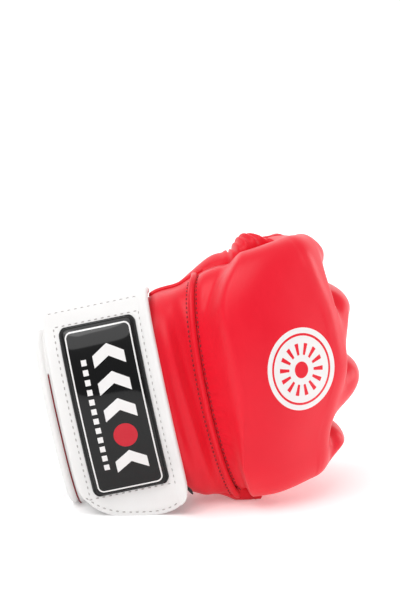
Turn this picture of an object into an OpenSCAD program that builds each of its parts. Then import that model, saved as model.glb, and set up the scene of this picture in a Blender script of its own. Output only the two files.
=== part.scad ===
// Padded open-palm fist glove for the right hand, standing on its little-finger edge.
// The hand axis runs from the wrist (-X) to the knuckles (+X), the back of the hand faces -Y,
// the thumb side is up, and the four open finger stalls curl over towards the palm (+Y).

/* [Stance] */
// Lean of the hand axis above the floor, finger end up, degrees
lean = 12; // [8:1:16]
// Depth of the flat that the weight of the glove presses into its lower edge
rest_flat = 3.2; // [2:0.2:3.6]

/* [Wrist] */
// Inner width of the wrist, little-finger side to thumb side
wrist_in_w = 72; // [68:1:76]
// Inner half depth of the wrist
wrist_in_d = 24; // [22:1:26]
// Length of the wrist cuff along the arm
cuff_len = 50; // [46:1:56]
// Thickness of the cuff wall
cuff_t = 2.6; // [2:0.1:3.2]
// Length of the plain leather panel between cuff and welt
panel_len = 16; // [12:1:20]
// Height of the soft folds in that panel
panel_fold = 0.8; // [0.2:0.1:1]
// How far that panel stands off the wrist beside the strap
panel_rise = 5; // [3:0.5:6]

/* [Hand] */
// Inner width of the hand across the knuckles
hand_in_w = 102; // [97:1:107]
// How far the hand sits below the wrist's middle, towards the little finger
hand_drop = 2.2; // [1:0.2:3]
// Depth of the hollow from the finger axis to the back of the hand
hand_in_back = 15; // [13:0.5:17]
// Depth of the hollow from the finger axis to the palm
hand_in_palm = 16; // [14:0.5:18]
// Length of the back pad from the welt to the start of the curl
pad_len = 25; // [21:1:30]
// Bow of the welt towards the wrist at the middle of the hand
welt_bow = 6; // [3:0.5:8]
// Foam thickness over the back of the hand
foam_back = 17; // [13:0.5:20]
// Foam thickness along the edges of the pad
foam_edge = 3.5; // [2.5:0.5:5]
// Crown of the cushion along the little-finger edge
side_crown = 4; // [2:0.5:5]
// Number of pleats in the index side panel
pleats = 4; // [3:1:6]
// Height of a pleat
pleat_h = 3; // [1:0.2:4]

/* [Fingers] */
// Spacing of the finger stalls
finger_pitch = 28.5; // [27:0.5:30]
// Half depth of a finger hollow
finger_in_d = 10; // [9:0.5:11]
// Radius of the finger axis in the curl of the middle finger
curl_r = 28; // [27:0.5:32]
// Angle that the fingers are curled through at rest, degrees
curl = 105; // [98:1:110]
// Angle of the curl at which the stalls part from the back pad, degrees
knuckle_at = 40; // [36:1:44]
// Straight run at the end of each stall
stall_run = 13; // [10:1:20]
// Foam thickness where the stalls leave the pad
foam_knuckle = 12.5; // [10:0.5:14]
// Foam thickness at the end of the stalls
foam_tip = 2.5; // [1.5:0.5:4]
// Length of the gathered hem at the end of a stall
hem_len = 4.5; // [3:0.5:6]
// Furthest flexion of a stall from rest, degrees
flex_max = 6; // [4:0.5:7]

/* [Closure strap] */
// Width of the strap along the arm
strap_w = 46; // [40:1:48]
// Thickness of the strap
strap_t = 2.6; // [2:0.1:3.2]
// Thickness of the hook and the loop tape, each
tape_t = 1.2; // [0.8:0.1:1.6]
// Width of the badge on the strap, along the arm
badge_w = 33; // [26:1:34]
// Thickness of the badge backing
badge_t = 0.9; // [0.6:0.1:1.2]
// Height of the clear dome on the badge
dome_h = 1.6; // [0.8:0.1:2.2]

/* [Layers] */
// Thickness of the felt lining of the hand
lining_t = 2; // [1.5:0.1:2.4]
// Thickness of the felt lining of the stalls
stall_lining_t = 1.4; // [1:0.1:1.6]
// Thickness of the outer leather
leather_t = 1.6; // [1.2:0.1:1.8]
// Radius of the white edge binding
binding_r = 3; // [2:0.2:3.4]
// Clearance between neighbouring layers
fit_gap = 0.3; // [0.2:0.05:0.4]

/* [Hidden] */
FINGERS = ["index", "middle", "ring", "little"];
STALLS = ["lining", "foam", "shell", "under", "hem"];

RED = "#d3202c";
DEEP_RED = "#a8141f";
WHITE = "#f4f2f0";
BLACK = "#1b1b1c";
FOAM = "#d9cfae";

// How far each knuckle stands back from the middle one, index to little finger
SETBACK = [4, 0, 2, 17];
// Share of a setback that shortens the hand, the rest tightens the curl
SETBACK_SHARE = 0.6;
// Length of the hand over which that share fades in
SETBACK_FADE = 20;
// Width of the soft step between two knuckles of unequal setback
STEP_W = 9;

// Stations along the hand: millimetres up to the curl, degrees round it, millimetres after it
welt_at = -pad_len;
cuff_front = welt_at - panel_len;
cuff_back = cuff_front - cuff_len;
stall_end = curl + stall_run;
hem_end = stall_end + fit_gap + hem_len;
// Length before the curl at which the hand has its full width
FULL_AT = -4;
// Length before the curl at which the back pad starts to square up towards the knuckles
PAST_LEAD = 12;

// Edges of the panels round the hand, degrees from the back of the hand towards the thumb
PAD_EDGE = 97;
PAD_SOFT = 14;
SEAM = 1.2;
OPENING_EDGE = 134;
PALM_EDGE = 148;
STALL_SPLIT = 101;
FOLD_AT = 82;
// Where the free end of the strap starts to stand off the wrist
STRAP_LEAVES = 30;

// Squareness of the sections: 2 is an ellipse, larger is squarer
BACK_SQUARE = 2.5;
KNUCKLE_SQUARE = 4.6;
WRIST_SQUARE = 2.5;
PALM_SQUARE = 4;
STRAP_SQUARE = 4.2;
// The stalls' sections are set by a power of the sine and cosine: 1 is an ellipse, smaller is squarer
STALL_POWER = 0.75;

// Walls measured outwards from the hollow
lining_out = lining_t;
foam_in = lining_out + fit_gap;
skin_in = foam_in + fit_gap;
cuff_in = lining_out + fit_gap;
cuff_out = cuff_in + cuff_t;
tape_in = cuff_out + fit_gap;
loop_out = tape_in + tape_t;
hook_in = loop_out + fit_gap;
hook_out = hook_in + tape_t;
strap_in = hook_out + fit_gap;
strap_out = strap_in + strap_t;
badge_in = strap_out + fit_gap;
badge_out = badge_in + badge_t;

// Sections of the stalls
finger_half = finger_pitch / 2 - fit_gap;
stall_in_w = finger_half - leather_t - 2 * fit_gap - stall_lining_t;
stall_skin_in = stall_lining_t + fit_gap;
STALL_TAPER = 0.86;
wedge = flex_max + 2;
START_GAP = 0.5;
// Largest sine that the wedge of a stall may reach
SINE_MOST = 0.98;

// Outer depth of the pad where the stalls part from it, and the hinge line just outside it
knuckle_d = finger_in_d + skin_in + foam_knuckle + leather_t + fit_gap;
HINGE_PROUD = 0.8;
hinge_d = knuckle_d + HINGE_PROUD;
knuckle_in_w = 4 * finger_pitch - 2 * (skin_in + foam_edge + leather_t);

// A direction that no roll runs along, to set its sides out from
ROLL_UP = [cos(lean), 0.17, sin(lean)];

// Height of the hand axis over the floor, and where along it the lower edge touches down
TOUCH_AT = -6;
hand_half_out = hand_in_w / 2 + skin_in + foam_edge + leather_t + fit_gap;
axis_height = (hand_half_out + hand_drop) * cos(lean) - rest_flat;

// Heights over the floor that the layers keep where it presses them, outermost first
LEAST_T = 0.9;
skin_lift = leather_t;
soft_lift = skin_lift + fit_gap;
soft_in_lift = soft_lift + LEAST_T;
lining_lift = soft_in_lift + fit_gap;
lining_in_lift = lining_lift + LEAST_T;

function mix(a, b, k) = a + (b - a) * k;
function clamp01(k) = max(0, min(1, k));
function smooth(k) = let (c = clamp01(k)) c * c * (3 - 2 * c);
function steps(a, b, n) = [for (i = [0:n]) a + (b - a) * i / n];
function ring(n) = [for (i = [0:n - 1]) -180 + 360 * i / n];
function soft_pow(x, p) = sign(x) * pow(abs(x), p);

// Finger centres across the hand, thumb side positive
function finger_b(i) = (1.5 - i) * finger_pitch;

// Setback across the hand, stepping softly on the longer finger's side of each gap
function setback(b) =
    let (gap = finger_pitch,
         to_index = smooth((b - (gap - STEP_W)) / STEP_W),
         to_little = smooth((-b - (gap - STEP_W)) / STEP_W),
         between = mix(SETBACK[2], SETBACK[1], smooth((b + STEP_W / 2) / STEP_W)))
    between + to_index * (SETBACK[0] - SETBACK[1]) + to_little * (SETBACK[3] - SETBACK[2]);

// Stands a point of the hand frame on the floor, no lower than the given lift
function stand(p, lift = 0) =
    [p.x * cos(lean) - p.z * sin(lean),
     p.y,
     max(lift, (p.x - TOUCH_AT) * sin(lean) + p.z * cos(lean) + axis_height)];

// A point at a station along the curled hand: d outwards from the finger axis, b across
function bend(t, d, b, s) =
    let (r = curl_r - (1 - SETBACK_SHARE) * s,
         a = -SETBACK_SHARE * s * smooth(t / SETBACK_FADE + 1),
         low = b - hand_drop * grow(t),
         c = max(0, min(curl, t)),
         run = max(0, t - curl))
    t <= 0 ? [a + t, -d, low]
           : [a + (r + d) * sin(c) + run * cos(c), r - (r + d) * cos(c) + run * sin(c), low];

// Size of the hollow along the hand
function grow(t) = let (k = clamp01((t - cuff_front) / (FULL_AT - cuff_front))) k * (3 - k * k) / 2;
function past(t) = smooth((t + PAST_LEAD) / (knuckle_at + PAST_LEAD));
function in_half_w(t) =
    mix(mix(wrist_in_w, hand_in_w, grow(t)), knuckle_in_w, past(t)) / 2;
function in_back(t) =
    mix(mix(wrist_in_d, hand_in_back, grow(t)), finger_in_d, past(t));
function in_palm(t) = mix(wrist_in_d, hand_in_palm, grow(t));

// Share of the full depth that a section of squareness n has, h degrees round from the back
function section(h, n) = sign(cos(h)) * pow(max(0, 1 - pow(abs(sin(h)), n)), 1 / n);
function squareness(t, h) =
    cos(h) > 0 ? mix(BACK_SQUARE, KNUCKLE_SQUARE, past(t)) : mix(WRIST_SQUARE, PALM_SQUARE, grow(t));

// A point on the hand's wall, and one on the strap, whose free end hangs squarer than the wrist
function shaped_point(t, h, wall, lift, n) =
    let (depth = cos(h) > 0 ? in_back(t) : in_palm(t),
         b = sin(h) * (in_half_w(t) + wall))
    stand(bend(t, section(h, n) * (depth + wall), b, setback(b)), lift);
function wall_point(t, h, wall, lift = 0) = shaped_point(t, h, wall, lift, squareness(t, h));
function strap_point(t, h, wall, lift = 0) =
    let (n = mix(BACK_SQUARE, STRAP_SQUARE, smooth((-h - STRAP_LEAVES) / STRAP_LEAVES)))
    shaped_point(t, h, wall, lift, n);

// The leather between cuff and welt stands off the wrist beside the strap
function sleeve(t) = panel_rise * (1 - smooth((t - cuff_front) / panel_len));

// Foam of the back pad: a low roll beside the welt, then a shoulder that stands further back towards the
// thumb, and a crown that draws in at its edges
function welt(h) = welt_at + welt_bow * (1 - max(0, cos(h)));
FOAM_LEAD = 1.5;
LOW_SHARE = 0.2;
LOW_SPAN = 8;
SHOULDER_AT = 2;
SHOULDER_SPAN = 16;
SHOULDER_LAG = 13;
LAG_FROM = 30;
LAG_SPAN = 50;
function pad_foam(t, h) =
    let (near = t - welt(h),
         low = LOW_SHARE * smooth((near + FOAM_LEAD) / LOW_SPAN),
         lag = SHOULDER_LAG * smooth((h - LAG_FROM) / LAG_SPAN),
         rise = mix(low, 1, smooth((near - SHOULDER_AT - lag) / SHOULDER_SPAN)),
         fall = mix(foam_back, foam_knuckle, past(t)),
         across = mix(foam_edge, fall, max(0, section(h, squareness(t, h)))))
    rise * across * smooth((PAD_EDGE - abs(h)) / PAD_SOFT);

// A point in a stall: v runs from the knuckle wedge to the end of the stall
function stall_foam(t) = mix(foam_knuckle, foam_tip, smooth((t - knuckle_at) / (curl - knuckle_at)));
function stall_taper(t) = mix(1, STALL_TAPER, smooth((t - knuckle_at) / (stall_end - knuckle_at)));
function stall_r(i) = curl_r - (1 - SETBACK_SHARE) * SETBACK[i];
function stall_start(i, d) =
    let (hinge_r = stall_r(i) + hinge_d, r = stall_r(i) + d)
    knuckle_at + asin(min(SINE_MOST, hinge_r * sin(wedge) / r)) - wedge + START_GAP / hinge_r * 180 / PI;
function stall_depth(t, h, wall, foam) =
    soft_pow(cos(h), STALL_POWER) * (finger_in_d * stall_taper(t) + wall + (cos(h) > 0 ? foam : 0));
function stall_point(i, t, h, wall, foam) =
    let (b = finger_b(i) + soft_pow(sin(h), STALL_POWER) * (stall_in_w * stall_taper(t) + wall))
    stand(bend(t, stall_depth(t, h, wall, foam), b, SETBACK[i]));
function stall_along(i, v, h, wall, share) =
    let (start = stall_start(i, stall_depth(knuckle_at, h, wall, share * stall_foam(knuckle_at))),
         t = mix(start, stall_end, v))
    stall_point(i, t, h, wall, share * stall_foam(t));

// A curved slab between two surfaces over a grid of u and v values
module slab(us, vs, inner, outer, closed = false) {
    nu = len(us);
    nv = len(vs);
    last = closed ? nv - 1 : nv - 2;
    points = concat([for (u = us) for (v = vs) inner(u, v)],
                    [for (u = us) for (v = vs) outer(u, v)]);
    function id(side, i, j) = side * nu * nv + i * nv + j % nv;
    quads = concat(
        [for (i = [0:nu - 2]) for (j = [0:last])
            [id(1, i, j), id(1, i, j + 1), id(1, i + 1, j + 1), id(1, i + 1, j)]],
        [for (i = [0:nu - 2]) for (j = [0:last])
            [id(0, i, j), id(0, i + 1, j), id(0, i + 1, j + 1), id(0, i, j + 1)]],
        [for (j = [0:last]) [id(0, 0, j), id(0, 0, j + 1), id(1, 0, j + 1), id(1, 0, j)]],
        [for (j = [0:last])
            [id(0, nu - 1, j), id(1, nu - 1, j), id(1, nu - 1, j + 1), id(0, nu - 1, j + 1)]],
        closed ? [] : [for (i = [0:nu - 2]) [id(0, i, 0), id(1, i, 0), id(1, i + 1, 0), id(0, i + 1, 0)]],
        closed ? [] : [for (i = [0:nu - 2])
            [id(0, i, nv - 1), id(0, i + 1, nv - 1), id(1, i + 1, nv - 1), id(1, i, nv - 1)]]);
    polyhedron(points, [for (q = quads) for (t = [[q[0], q[1], q[2]], [q[0], q[2], q[3]]]) t], 6);
}

// A round roll of leather swept along a path of points, or round a closed one
module roll(path, r, sides = 8, closed = false) {
    n = len(path);
    function unit(v) = v / norm(v);
    function at(k) = closed ? path[(k + n) % n] : path[max(0, min(n - 1, k))];
    function along(k) = unit(at(k + 1) - at(k - 1));
    function side_of(k) = unit(cross(along(k), ROLL_UP));
    points = [for (k = [0:n - 1])
        let (e = side_of(k), f = cross(along(k), e))
        for (j = [0:sides - 1])
            let (p = path[k] + r * (cos(360 * j / sides) * e + sin(360 * j / sides) * f))
            [p.x, p.y, max(p.z, 0)]];
    skin = [for (k = [0:closed ? n - 1 : n - 2]) for (j = [0:sides - 1])
        let (a = k * sides + j, b = k * sides + (j + 1) % sides, step = sides, whole = n * sides)
        for (t = [[a, (a + step) % whole, (b + step) % whole], [a, (b + step) % whole, b]]) t];
    caps = closed ? [] : [for (j = [1:sides - 2])
        for (t = [[0, j, j + 1], [(n - 1) * sides, (n - 1) * sides + j + 1, (n - 1) * sides + j]]) t];
    polyhedron(points, concat(skin, caps), 6);
}

// Wrist: lining, white cuff with its rolled rim and hem, fixed strap end and loop tape

module cuff_lining() {
    color(BLACK)
    slab(steps(cuff_back, cuff_front - fit_gap, 4), ring(30),
         function (t, h) wall_point(t, h, 0, soft_in_lift),
         function (t, h) wall_point(t, h, lining_out, soft_lift), true);
}

module cuff() {
    color(WHITE)
    slab(steps(cuff_back, cuff_front, 5), ring(30),
         function (t, h) wall_point(t, h, cuff_in, skin_lift),
         function (t, h) wall_point(t, h, cuff_out), true);
}

RIM_R = 2.2;
module cuff_rim() {
    color(WHITE)
    roll([for (h = ring(30)) wall_point(cuff_back - RIM_R - fit_gap, h, cuff_out / 2, RIM_R)],
         RIM_R, 6, true);
}

HEM_W = 6;
// How far past the fold the hem starts, and where it and the strap's fixed part end, degrees
HEM_FROM = 14;
HEM_TO = 262;
module cuff_hem() {
    color(WHITE)
    slab(steps(cuff_front - HEM_W, cuff_front, 2), steps(FOLD_AT + HEM_FROM, HEM_TO, 16),
         function (t, h) wall_point(t, h, tape_in, LEAST_T),
         function (t, h) wall_point(t, h, tape_in + tape_t));
}

STRAP_BACKSET = 1;
strap_front = cuff_front - STRAP_BACKSET;
strap_back = strap_front - strap_w;
BASE_MARGIN = 2;
BASE_FROM = 5;
BASE_TO = 250;
module strap_base() {
    color(WHITE)
    slab(steps(strap_back + BASE_MARGIN, cuff_front - HEM_W - fit_gap, 4),
         steps(FOLD_AT + BASE_FROM, BASE_TO, 14),
         function (t, h) wall_point(t, h, tape_in, LEAST_T),
         function (t, h) wall_point(t, h, tape_in + strap_t));
}

// The tape keeps this far inside the strap, and the loop half lies between these angles
TAPE_MARGIN = 6;
LOOP_ENDS = [-78, -20];
module loop_patch() {
    color(BLACK)
    slab(steps(strap_back + TAPE_MARGIN, cuff_front - fit_gap, 4), steps(LOOP_ENDS[0], LOOP_ENDS[1], 8),
         function (t, h) wall_point(t, h, tape_in, LEAST_T),
         function (t, h) wall_point(t, h, loop_out));
}

// Back of the hand: lining, wrist panel, welt, foam pad and its outer shell

// The layers of the back share these angles, so that their facets lie parallel; foam stops one step short
PAD_STEPS = 22;
foam_edge_at = PAD_EDGE * (1 - 2 / PAD_STEPS);
module hand_lining() {
    color(BLACK)
    slab(concat(steps(cuff_front, 0, 6), steps(knuckle_at / 4, knuckle_at, 3)),
         steps(-PAD_EDGE, PAD_EDGE, PAD_STEPS),
         function (t, h) wall_point(t, h, 0, lining_in_lift),
         function (t, h) wall_point(t, h, lining_out, lining_lift));
}

FOLDS = 1.5;
module wrist_panel() {
    fold = function (v, h) panel_fold * max(0, cos(h)) * sin(360 * FOLDS * v);
    place = function (v, h) mix(cuff_front + fit_gap, welt(h) - WELT_R - fit_gap, v);
    panel_in = function (v, h) foam_in + panel_fold + fold(v, h) + sleeve(place(v, h));
    color(RED)
    slab(steps(0, 1, 8), steps(-PAD_EDGE, PAD_EDGE, 18),
         function (v, h) wall_point(place(v, h), h, panel_in(v, h), skin_lift),
         function (v, h) wall_point(place(v, h), h, panel_in(v, h) + leather_t));
}

WELT_R = 1.7;
// The welt runs from just over the floor to the thumb side, degrees
WELT_ENDS = [-78, 89];
WELT_PROUD = 1;
module seam_welt() {
    color(RED)
    roll([for (h = steps(WELT_ENDS[0], WELT_ENDS[1], 24))
          wall_point(welt(h), h, foam_in + leather_t + WELT_PROUD, WELT_R)], WELT_R);
}

RISE_SHARE = 0.45;
RISE_STEPS = 7;
FLAT_STEPS = 6;
rise_stations = steps(0, RISE_SHARE, RISE_STEPS);
flat_stations = [for (k = [1:FLAT_STEPS]) mix(RISE_SHARE, 1, k / FLAT_STEPS)];
function pad_place(v, h) =
    let (start = welt(h) + WELT_R + fit_gap) mix(start, knuckle_at, v);
FOAM_SHORT = 0.985;
module knuckle_foam() {
    color(FOAM)
    slab(FOAM_SHORT * concat([for (k = [1:RISE_STEPS]) rise_stations[k]], flat_stations),
         steps(-foam_edge_at, foam_edge_at, PAD_STEPS - 2),
         function (v, h) let (t = pad_place(v, h)) wall_point(t, h, foam_in, soft_in_lift),
         function (v, h) let (t = pad_place(v, h)) wall_point(t, h, foam_in + pad_foam(t, h), soft_lift));
}

module back_shell() {
    color(RED)
    slab(concat(rise_stations, flat_stations), steps(-PAD_EDGE, PAD_EDGE, PAD_STEPS),
         function (v, h) let (t = pad_place(v, h)) wall_point(t, h, skin_in + pad_foam(t, h), skin_lift),
         function (v, h) let (t = pad_place(v, h)) wall_point(t, h, skin_in + pad_foam(t, h) + leather_t));
}

// Sides and palm: pleated index side, cushioned little-finger side, palm strip and white bindings

PANEL_REACH = 30;
PANEL_BACKSET = 4;
PLEAT_FADE = 10;
PLEAT_SPAN = 44;
module index_side_panel() {
    from = cuff_front + PANEL_BACKSET;
    rib = function (t) pleat_h * clamp01((t - welt_at) / PLEAT_FADE)
        * abs(sin(180 * pleats * clamp01((t - welt_at) / (PANEL_REACH - welt_at))));
    color(DEEP_RED)
    slab(steps(from, PANEL_REACH, 28), steps(PAD_EDGE + SEAM, OPENING_EDGE, 6),
         function (t, h) wall_point(t, h, lining_out + sleeve(t)),
         function (t, h) wall_point(t, h, lining_out + sleeve(t) + leather_t
             + rib(t) * sin(180 * (h - PAD_EDGE) / PLEAT_SPAN)));
}

// Angle that the cushion takes up, and where along it the crown is highest
SIDE_SPAN = 26;
CROWN_AT = 0.7;
module little_side_panel() {
    from = cuff_front + fit_gap;
    crown = function (t, h) side_crown * sin(180 * clamp01((t - from) / (FULL_AT - from) * CROWN_AT))
        * sin(180 * clamp01((h + PAD_EDGE + SIDE_SPAN) / SIDE_SPAN));
    color(DEEP_RED)
    slab(steps(from, FULL_AT, 9), steps(-PAD_EDGE - SIDE_SPAN, -PAD_EDGE - SEAM, 7),
         function (t, h) wall_point(t, h, lining_out + sleeve(t), skin_lift),
         function (t, h) wall_point(t, h, lining_out + sleeve(t) + leather_t + crown(t, h)));
}

module palm_panel() {
    color(DEEP_RED)
    slab(steps(cuff_front + fit_gap, FULL_AT, 8),
         steps(-PALM_EDGE, -PAD_EDGE - SIDE_SPAN - SEAM / 2, 5),
         function (t, h) wall_point(t, h, lining_out + sleeve(t), skin_lift),
         function (t, h) wall_point(t, h, lining_out + sleeve(t) + leather_t));
}

PIPING_R = 1.8;
PIPING_PAST = 8;
module top_piping() {
    color(RED)
    roll([for (t = steps(cuff_front + PIPING_R, welt_at + PIPING_PAST, 8))
          wall_point(t, PAD_EDGE + SEAM / 2,
                     lining_out + sleeve(t) + leather_t + PIPING_R + panel_fold * 2)], PIPING_R);
}

BAR_AT = 18;
// Ends of the bar in finger pitches, and how far the thumb's binding stands off it
BAR_ENDS = [-1.75, 1.45];
BAR_CLEAR = 12;
// The angle, past a panel's edge, at which a binding lies against it
function beside(t, edge) = 180 - asin(sin(edge) - (binding_r + fit_gap) / (in_half_w(t) + lining_out));
function binding_wall(t) = lining_out + sleeve(t) + leather_t / 2;
module thumb_binding() {
    color(WHITE)
    roll([for (t = steps(cuff_front + binding_r, BAR_AT - BAR_CLEAR, 12))
          wall_point(t, beside(t, OPENING_EDGE), binding_wall(t))], binding_r);
}

module palm_binding() {
    color(WHITE)
    roll([for (t = steps(cuff_front + binding_r, FULL_AT + binding_r, 10))
          wall_point(t, -beside(t, PALM_EDGE), binding_wall(t))], binding_r);
}

module palm_bar() {
    bar_d = finger_in_d + binding_r;
    color(WHITE)
    roll([for (b = steps(BAR_ENDS[0] * finger_pitch, BAR_ENDS[1] * finger_pitch, 14))
          stand(bend(BAR_AT, -bar_d, b, setback(b)))], binding_r);
}

// One stall of a finger: felt lining, foam roll, leather roll, underside and gathered hem

module stall_lining(i) {
    color(BLACK)
    slab(steps(0, 1, 6), ring(12),
         function (v, h) stall_along(i, v, h, 0, 0),
         function (v, h) stall_along(i, v, h, stall_lining_t, 0), true);
}

STALL_FOAM_EDGE = 72;
module stall_padding(i) {
    color(FOAM)
    slab(steps(0, 1, 9), steps(-STALL_FOAM_EDGE, STALL_FOAM_EDGE, 8),
         function (v, h) stall_along(i, v, h, stall_skin_in, 0),
         function (v, h) stall_along(i, v, h, stall_skin_in, 1));
}

module stall_shell(i) {
    color(RED)
    slab(steps(0, 1, 10), steps(-STALL_SPLIT + SEAM, STALL_SPLIT - SEAM, 12),
         function (v, h) stall_along(i, v, h, stall_skin_in + fit_gap, 1),
         function (v, h) stall_along(i, v, h, stall_skin_in + fit_gap + leather_t, 1));
}

module stall_under(i) {
    color(DEEP_RED)
    slab(steps(0, 1, 7), steps(STALL_SPLIT, 360 - STALL_SPLIT, 8),
         function (v, h) stall_along(i, v, h, stall_skin_in + fit_gap, 0),
         function (v, h) stall_along(i, v, h, stall_skin_in + fit_gap + leather_t, 0));
}

GATHERS = 10;
GATHER_SHARE = 0.25;
module stall_hem(i) {
    gather = function (h) GATHER_SHARE * leather_t * cos(GATHERS * h);
    wall = function (t, h) stall_lining_t + leather_t + foam_tip / 2 + gather(h)
        - (t - stall_end) / hem_len;
    color(RED)
    slab([stall_end + fit_gap, hem_end], ring(30),
         function (t, h) stall_point(i, t, h, 0, 0),
         function (t, h) stall_point(i, t, h, wall(t, h), 0), true);
}

// The free end of the closure strap with its hook tape, rolled edge and domed badge

STRAP_END = -80;
STRAP_SHOULDER = 28;
FOLD_GAP = 2;
EDGE_ZONE = 8;
STRAP_STEPS = 22;
function strap_reach(t) =
    let (k = abs((t - strap_back) / strap_w * 2 - 1))
    STRAP_END + STRAP_SHOULDER * (1 - pow(max(0, 1 - pow(k, 3)), 0.5));
function strap_place(t, v) = mix(FOLD_AT - FOLD_GAP, strap_reach(t), v);
module strap_tab() {
    color(WHITE)
    slab(concat(steps(strap_back, strap_back + EDGE_ZONE, 4),
                steps(strap_back + 2 * EDGE_ZONE, strap_front - 2 * EDGE_ZONE, 3),
                steps(strap_front - EDGE_ZONE, strap_front, 4)), steps(1, 0, STRAP_STEPS),
         function (t, v) strap_point(t, strap_place(t, v), strap_in, fit_gap),
         function (t, v) strap_point(t, strap_place(t, v), strap_out));
}

ROLL_W = 5;
ROLL_CLEAR = 5;
ROLL_EDGE = 0.3;
ROLL_RISE = 0.9;
module strap_roll() {
    color(WHITE)
    slab(steps(strap_front - ROLL_W, strap_front, 4),
         steps(STRAP_END + STRAP_SHOULDER + ROLL_CLEAR, FOLD_AT - ROLL_CLEAR, 16),
         function (t, h) strap_point(t, h, badge_in, LEAST_T),
         function (t, h) strap_point(t, h, badge_in + ROLL_EDGE
             + ROLL_RISE * sqrt(clamp01(1 - pow((t - strap_front + ROLL_W / 2) / ROLL_W * 2, 2)))));
}

// The steps of the strap, counted from its fold, that the hook tape lies under
HOOK_STEPS = [14, 18];
module hook_patch() {
    color(BLACK)
    slab(steps(strap_back + 2 * EDGE_ZONE, strap_front - EDGE_ZONE, 3),
         steps(HOOK_STEPS[1] / STRAP_STEPS, HOOK_STEPS[0] / STRAP_STEPS, HOOK_STEPS[1] - HOOK_STEPS[0]),
         function (t, v) strap_point(t, strap_place(t, v), hook_in),
         function (t, v) strap_point(t, strap_place(t, v), hook_out));
}

BADGE_SPAN = 54;
badge_mid = strap_back + (strap_w - ROLL_W) / 2;
module badge_base() {
    color(BLACK)
    slab(steps(badge_mid - badge_w / 2, badge_mid + badge_w / 2, 4), steps(-BADGE_SPAN, BADGE_SPAN, 14),
         function (t, h) strap_point(t, h, badge_in),
         function (t, h) strap_point(t, h, badge_out));
}

DOME_INSET = 1.6;
DOME_EDGE = 0.4;
dome_span = BADGE_SPAN - 2;
module badge_dome() {
    half = badge_w / 2 - DOME_INSET;
    rise = function (t, h) DOME_EDGE
        + (dome_h - DOME_EDGE) * sqrt(clamp01(1 - pow((t - badge_mid) / half, 4)))
        * sqrt(clamp01(1 - pow(h / dome_span, 8)));
    color(BLACK)
    slab(steps(badge_mid - half, badge_mid + half, 8), steps(-dome_span, dome_span, 16),
         function (t, h) strap_point(t, h, badge_out + fit_gap),
         function (t, h) strap_point(t, h, badge_out + fit_gap + rise(t, h)));
}

cuff_lining();
cuff();
cuff_rim();
cuff_hem();
strap_base();
loop_patch();
hand_lining();
wrist_panel();
seam_welt();
knuckle_foam();
back_shell();
index_side_panel();
little_side_panel();
palm_panel();
top_piping();
thumb_binding();
palm_binding();
palm_bar();
for (i = [0:3]) {
    stall_lining(i);
    stall_padding(i);
    stall_shell(i);
    stall_under(i);
    stall_hem(i);
}
strap_tab();
strap_roll();
hook_patch();
badge_base();
badge_dome();
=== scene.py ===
"""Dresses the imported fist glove: red leather pads and panels, white cuff, strap and bindings, black felt.

Shapes follow the sizes and stations of the part's source, in millimetres: t runs along the hand
(millimetres up to the curl, degrees round it, millimetres after it), h round it (0 back of the hand,
90 thumb side, 180 palm), b across it towards the thumb and d outwards. A skin's place takes u along it,
s across it and w from its inner side to its outer one, each from 0 to 1.
"""
import math
from functools import partial

import bmesh
import bpy
from mathutils import Matrix, Vector, noise


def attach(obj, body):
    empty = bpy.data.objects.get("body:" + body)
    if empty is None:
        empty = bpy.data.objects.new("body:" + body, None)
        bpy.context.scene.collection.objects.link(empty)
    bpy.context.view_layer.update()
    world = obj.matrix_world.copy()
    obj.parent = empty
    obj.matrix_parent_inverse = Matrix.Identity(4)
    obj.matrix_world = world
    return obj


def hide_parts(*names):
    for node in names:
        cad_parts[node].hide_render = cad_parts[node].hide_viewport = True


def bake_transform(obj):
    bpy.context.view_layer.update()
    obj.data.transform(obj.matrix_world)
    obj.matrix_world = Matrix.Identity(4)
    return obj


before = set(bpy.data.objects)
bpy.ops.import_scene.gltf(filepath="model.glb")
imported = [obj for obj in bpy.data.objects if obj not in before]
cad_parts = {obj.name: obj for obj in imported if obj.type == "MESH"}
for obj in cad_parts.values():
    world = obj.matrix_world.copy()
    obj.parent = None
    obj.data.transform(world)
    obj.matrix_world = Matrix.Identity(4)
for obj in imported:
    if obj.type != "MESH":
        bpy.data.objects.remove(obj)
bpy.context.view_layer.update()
MM = 0.001

# Sizes and stations, as in the part's source
LEAN = math.radians(12)
WRIST_W, WRIST_D = 72, 24
HAND_W, HAND_BACK, HAND_PALM, HAND_DROP = 102, 15, 16, 2.2
WELT_AT, CUFF_FRONT, CUFF_BACK, FULL_AT, PAST_LEAD = -25, -41, -91, -4, 12
PITCH, FINGER_D, CURL_R, CURL, KNUCKLE_AT = 28.5, 10, 28, 105, 40
STALL_END, HEM_END = 118, 122.8
FOAM_BACK, FOAM_EDGE, FOAM_KNUCKLE, FOAM_TIP = 17, 3.5, 12.5, 2.5
LINING_T, STALL_LINING_T, LEATHER_T = 2, 1.4, 1.6
LINING_GAP, STALL_GAP, FIT_GAP, REST_FLAT = 0.6, 0.9, 0.3, 3.2
SKIN_IN = LINING_T + LINING_GAP
KNUCKLE_W = 4 * PITCH - 2 * (SKIN_IN + FOAM_EDGE + LEATHER_T)
STALL_W = PITCH / 2 - STALL_GAP - LEATHER_T - STALL_LINING_T
PAD_EDGE, OPENING_EDGE, PALM_EDGE, STALL_SPLIT, FOLD_AT = 97, 134, 148, 101, 82
TOUCH_AT = -6
LOW_SIDE = HAND_W / 2 + HAND_DROP + SKIN_IN + FOAM_EDGE + LEATHER_T + FIT_GAP
AXIS_HEIGHT = LOW_SIDE * math.cos(LEAN) - REST_FLAT
CUFF_IN, CUFF_OUT, TAPE_IN, LOOP_OUT, HOOK_IN, HOOK_OUT = 2.3, 4.9, 5.2, 6.4, 6.7, 7.9
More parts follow.
